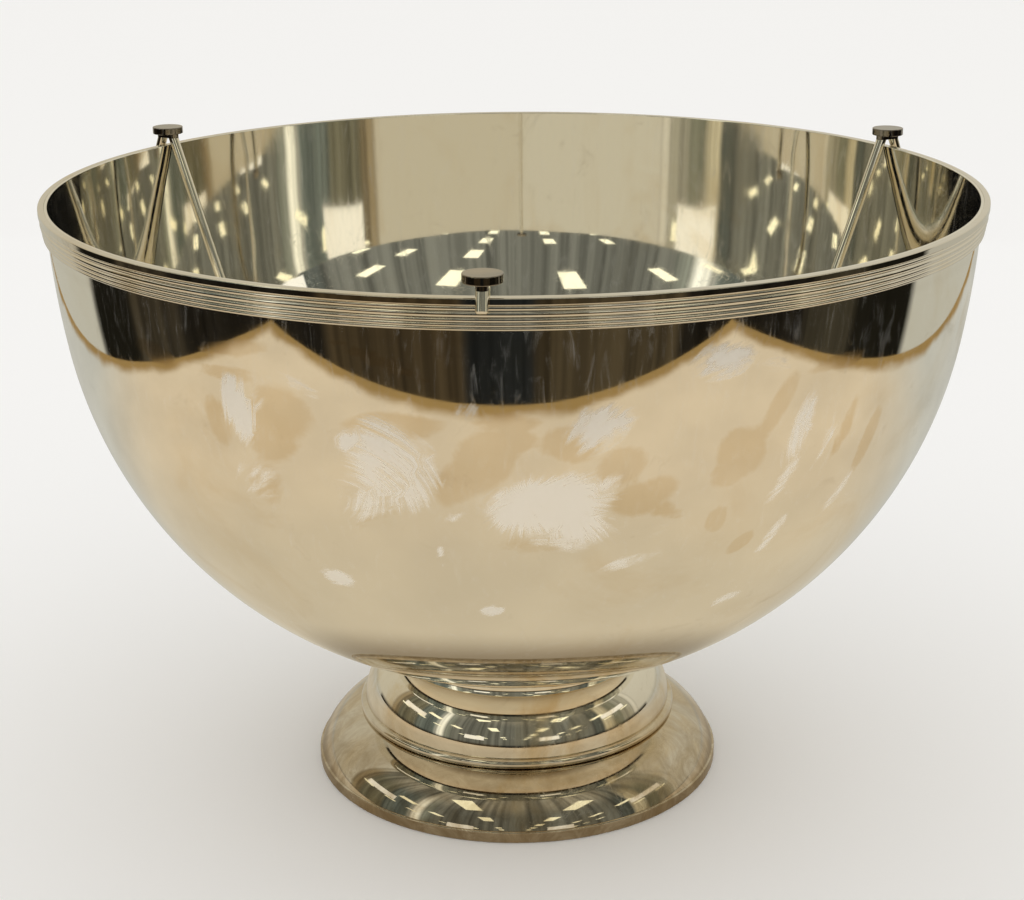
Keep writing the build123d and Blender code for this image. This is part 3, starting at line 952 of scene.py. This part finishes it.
@dataclass(frozen=True)
class Stage:
    """Pale floor and soft light, and what the metal alone mirrors: a table in a room.

    The room is dark in front, with ceiling lights and windows, and pale behind.
    """

    floor_colour: Colour = (0.93, 0.92, 0.90)
    table_side: float = 0.66
    table_front: float = -0.575
    table_back_edge: float = 1.10
    table_shade: Colour = (0.30, 0.24, 0.16)
    table_near: Colour = (0.63, 0.54, 0.39)
    table_far: Colour = (0.70, 0.58, 0.41)
    table_edge: Colour = (0.34, 0.22, 0.08)
    table_rear: Colour = (0.56, 0.55, 0.49)
    ceiling_height: float = 2.4
    floor_reach: float = 20.0
    panes: tuple[Point3, ...] = (
        (-118.0, 0.38, 0.50), (-64.0, 0.38, 0.50), (-172.0, 0.6, 1.1), (-9.0, 0.6, 1.1),
    )
    pane_distance: float = 3.0
    pane_half_height: float = 0.16
    walls: tuple[tuple[float, Colour], ...] = (
        (-134.0, (0.17, 0.17, 0.14)), (-128.0, (0.24, 0.25, 0.20)), (-121.0, (0.90, 0.88, 0.74)),
        (-103.0, (0.14, 0.16, 0.14)), (-85.0, (0.16, 0.15, 0.10)), (-77.0, (0.25, 0.20, 0.12)),
        (0.0, (0.60, 0.55, 0.43)), (81.0, (0.64, 0.60, 0.49)), (92.0, (0.36, 0.34, 0.26)),
        (101.0, (0.22, 0.22, 0.16)), (110.0, (0.56, 0.50, 0.34)), (118.0, (0.10, 0.11, 0.095)),
        (180.0, (0.17, 0.17, 0.14)),
    )
    gloom: tuple[tuple[float, Colour], ...] = (
        (-171.0, (0.014, 0.015, 0.014)), (-138.0, (0.055, 0.039, 0.020)), (-96.0, (0.012, 0.010, 0.007)),
        (-78.0, (0.040, 0.032, 0.02)), (-60.0, (0.010, 0.009, 0.006)), (66.0, (0.52, 0.50, 0.42)),
        (88.0, (0.010, 0.009, 0.006)), (104.0, (0.045, 0.038, 0.024)), (138.0, (0.012, 0.010, 0.007)),
        (172.0, (0.055, 0.041, 0.022)), (180.0, (0.014, 0.015, 0.014)),
    )

    def card(self, name: str, points: Array, faces: Array) -> bpy.types.Object:
        mesh = bpy.data.meshes.new(name)
        mesh.from_pydata(points, [], faces.tolist())
        piece = bpy.data.objects.new(name, mesh)
        bpy.context.scene.collection.objects.link(piece)
        return piece

    def level(self, name: str, x_range: Point, y_range: Point, height: float, cells: int) -> bpy.types.Object:
        """Level grid that faces up."""
        x, y = np.meshgrid(np.linspace(*x_range, cells + 1), np.linspace(*y_range, cells + 1))
        points = np.column_stack([x.ravel(), y.ravel(), np.full(x.size, height)])
        i, j = np.meshgrid(np.arange(cells), np.arange(cells), indexing="ij")
        low = (i * (cells + 1) + j).ravel()
        return self.card(name, points, np.column_stack([low, low + 1, low + cells + 2, low + cells + 1]))

    def floor(self) -> None:
        """Plain pale floor, which the metal doesn't mirror."""
        span = (-self.floor_reach, self.floor_reach)
        floor = self.level("floor", span, span, -0.1 * MM, 1)
        material = bpy.data.materials.new("pale_floor")
        material.use_nodes = True
        shader = material.node_tree.nodes["Principled BSDF"]
        shader.inputs["Base Color"].default_value = (*self.floor_colour, 1.0)
        shader.inputs["Roughness"].default_value = 0.85
        floor.data.materials.append(material)
        floor.visible_glossy = False

    @staticmethod
    def light(piece: bpy.types.Object, colour: object, strength: object, g: Graph | None = None) -> None:
        """Make a card shine, in the metal alone.

        Args:
            piece: The card.
            colour: Colour or socket.
            strength: Number or socket.
            g: The card's own graph, where its colour comes from sockets.
        """
        if g is None:
            material = bpy.data.materials.new(f"{piece.name}_glow")
            material.use_nodes = True
            g, colour = Graph(material.node_tree), (*colour, 1.0)
            piece.data.materials.append(material)
        shine = g.add("ShaderNodeEmission", {"Color": colour, "Strength": strength})
        g.add("ShaderNodeOutputMaterial", {"Surface": shine.outputs[0]})
        piece.visible_camera = False
        piece.visible_diffuse = False
        piece.visible_shadow = False
        piece.visible_transmission = False

    def table(self) -> None:
        """Card in the table's colours: shaded at the foot, warm, paler behind and golden at its edge."""
        side, front = self.table_side, self.table_front
        card = self.level("table_card", (-side, side), (front, self.table_back_edge), 0.2 * MM, 24)
        material = bpy.data.materials.new("table_glow")
        material.use_nodes = True
        card.data.materials.append(material)
        g = Graph(material.node_tree)
        place = g.add("ShaderNodeTexCoord").outputs["Object"]
        split = g.add("ShaderNodeSeparateXYZ", {0: place})
        reach = g.add("ShaderNodeVectorMath", {0: place}, operation="LENGTH").outputs["Value"]
        beyond = g.math("SUBTRACT", g.math("ABSOLUTE", split.outputs[0]), side)
        before = g.math("SUBTRACT", front, split.outputs[1])
        ragged = g.math("MULTIPLY", g.noise(place, 9.0, 3.0), 0.06)
        rim = g.math("ADD", g.math("MAXIMUM", beyond, before), ragged)
        colour = g.mix(g.fade(reach, 0.09, 0.14), self.table_shade, self.table_near)
        colour = g.mix(g.fade(reach, 0.15, 0.42), colour, self.table_far)
        colour = g.mix(g.fade(split.outputs[1], -0.10, 0.30), colour, self.table_rear)
        colour = g.mix(g.fade(rim, -0.02, 0.015), colour, self.table_edge)
        cloud = g.fade(g.noise(place, 6.0, 3.0), 0.2, 0.8, (0.90, 1.05))
        self.light(card, colour, cloud, g)

    def room(self) -> None:
        """World: white to the camera and the floor, and a room with dark and pale walls to the metal."""
        world = bpy.data.worlds.new("studio")
        bpy.context.scene.world = world
        world.use_nodes = True
        g = Graph(world.node_tree)
        way = g.add("ShaderNodeTexCoord").outputs["Generated"]
        split = g.add("ShaderNodeSeparateXYZ", {0: way})
        rise = g.math("ARCSINE", split.outputs[2])
        flat = g.add("ShaderNodeVectorMath", {0: way, 1: (1.0, 1.0, 0.0)}, operation="MULTIPLY").outputs[0]
        around = g.add("ShaderNodeVectorMath", {0: flat}, operation="NORMALIZE").outputs[0]
        turn = g.add("ShaderNodeSeparateXYZ", {0: around})
        wide, narrow = g.noise(around, 3.5, 2.0, 0.5), g.noise(around, 14.0, 3.0, 0.6)
        bearing = g.math("ARCTAN2", turn.outputs[0], turn.outputs[1])
        share = g.scaled(bearing, 1.0 / TURN, 0.5)
        walls = self.sections(g, share, self.walls)
        below = self.sections(g, share, self.gloom)
        cloud = g.fade(narrow, 0.30, 0.70, (0.55, 1.45))
        behind = g.fade(g.math("ABSOLUTE", bearing), radians(74.0), radians(80.0), (1.0, 0.0))
        cloud = g.math("ADD", g.math("MULTIPLY", cloud, g.math("SUBTRACT", 1.0, behind)), behind)
        roof = g.mix(g.fade(wide, 0.35, 0.65), (0.17, 0.165, 0.13), (0.36, 0.33, 0.25))
        high = g.math("MULTIPLY", g.fade(rise, 0.50, 0.85), g.math("SUBTRACT", 1.0, behind))
        shown = g.mix(g.fade(rise, -0.05, 0.03), below, g.mix(high, walls, roof))
        mirrored = g.add("ShaderNodeBackground", {"Color": shown, "Strength": cloud})
        plain = g.add("ShaderNodeBackground", {"Color": (1.0, 1.0, 1.0, 1.0), "Strength": 1.0})
        glossy = g.add("ShaderNodeLightPath").outputs["Is Glossy Ray"]
        seen = g.add("ShaderNodeMixShader", {0: glossy, 1: plain.outputs[0], 2: mirrored.outputs[0]})
        g.add("ShaderNodeOutputWorld", {"Surface": seen.outputs[0]})

    @staticmethod
    def sections(g: Graph, share: Socket, parts: Sequence[tuple[float, Colour]]) -> Socket:
        """Colours side by side round the horizon.

        Args:
            g: The world's graph.
            share: Place round the horizon, from 0 in front over the left, behind and the right to 1.
            parts: Each colour with the bearing in degrees from straight behind where it ends.

        Returns:
            The colour at that place.
        """
        node = g.add("ShaderNodeValToRGB", {0: share})
        ends = [0.5 + end / 360.0 for end, _ in parts]
        stops = [(0.0, parts[0][1])]
        blend = 0.003
        for end, (_, here), (_, beyond) in zip(ends, parts, parts[1:]):
            stops += [(end - blend, here), (end + blend, beyond)]
        elements = node.color_ramp.elements
        while len(elements) < len(stops):
            elements.new(0.5)
        for element, (position, colour) in zip(elements, stops):
            element.position, element.color = position, (*colour, 1.0)
        return node.outputs[0]

    def ceiling(self) -> None:
        """Grid of oblong ceiling lights, some of them out."""
        x, y = np.meshgrid(-1.3 + 3.3 * np.arange(-2, 4), -2.3 - 2.6 * np.arange(-1, 5))
        near = (np.abs(x - 0.35) < 2.0) & (y < 0.0) & (y > -6.0)
        lit = near | (np.random.default_rng(8).random(x.shape) < 0.55)
        middles = np.column_stack([x[lit], y[lit], np.full(int(lit.sum()), self.ceiling_height)])
        corners = np.array([(-0.3, -0.6, 0.0), (-0.3, 0.6, 0.0), (0.3, 0.6, 0.0), (0.3, -0.6, 0.0)])
        points = (middles[:, None] + corners).reshape(-1, 3)
        lamps = self.card("ceiling_lights", points, np.arange(len(points)).reshape(-1, 4))
        self.light(lamps, (1.0, 0.95, 0.68), 1.4)

    def windows(self) -> None:
        """Low bright windows in front and to the sides, each facing the bowl's axis."""
        for number, (bearing, half, rise) in enumerate(self.panes):
            a = radians(bearing)
            out, side = np.array([cos(a), sin(a), 0.0]), np.array([-sin(a), cos(a), 0.0])
            middle = out * self.pane_distance + np.array([0.0, 0.0, rise])
            lift = np.array([0.0, 0.0, self.pane_half_height])
            corners = [middle + u * half * side + v * lift for u, v in ((-1, -1), (1, -1), (1, 1), (-1, 1))]
            box = self.card(f"window_{number}", np.array(corners), np.arange(4).reshape(1, 4))
            self.light(box, (1.0, 0.96, 0.84), 1.1)

    def build(self) -> None:
        """Set the stage."""
        self.floor()
        self.table()
        self.room()
        self.ceiling()
        self.windows()
        bpy.context.scene.view_settings.view_transform = "Standard"


def main() -> None:
    """Build the stage and every piece."""
    logging.basicConfig(level=logging.INFO, format="%(name)s: %(message)s")
    Viewpoint().build()
    Stage().build()
    bowl_plate = PlateFinish("worn_plate", painted=True).build()
    band_plate = PlateFinish("band_plate", metal=(0.80, 0.76, 0.68), blotch_strength=0.6, grime=0.5).build()
    # The foot's finish darkens towards its base: painted shade with grime.
    foot_plate = PlateFinish("foot_plate", metal=(0.88, 0.84, 0.74), blotch_scale=24.0, blotch_low=0.45,
                             blotch_high=0.70, blotch_strength=0.8, grime=0.45, low_shade_and_grime=0.72).build()
    rack_plate = PlateFinish("rack_plate", metal=(0.84, 0.80, 0.70), waves=0.00002).build()
    dark_plate = PlateFinish("dark_plate", metal=(0.27, 0.25, 0.23), waves=0.00002, roughness=0.08).build()
    bowl = Bowl(bowl_plate)
    bowl.build()
    RimBand(band_plate, bowl).build()
    Foot(foot_plate, bowl).build()
    Rack(rack_plate, dark_plate).build()


if __name__ == "__main__":
    main()
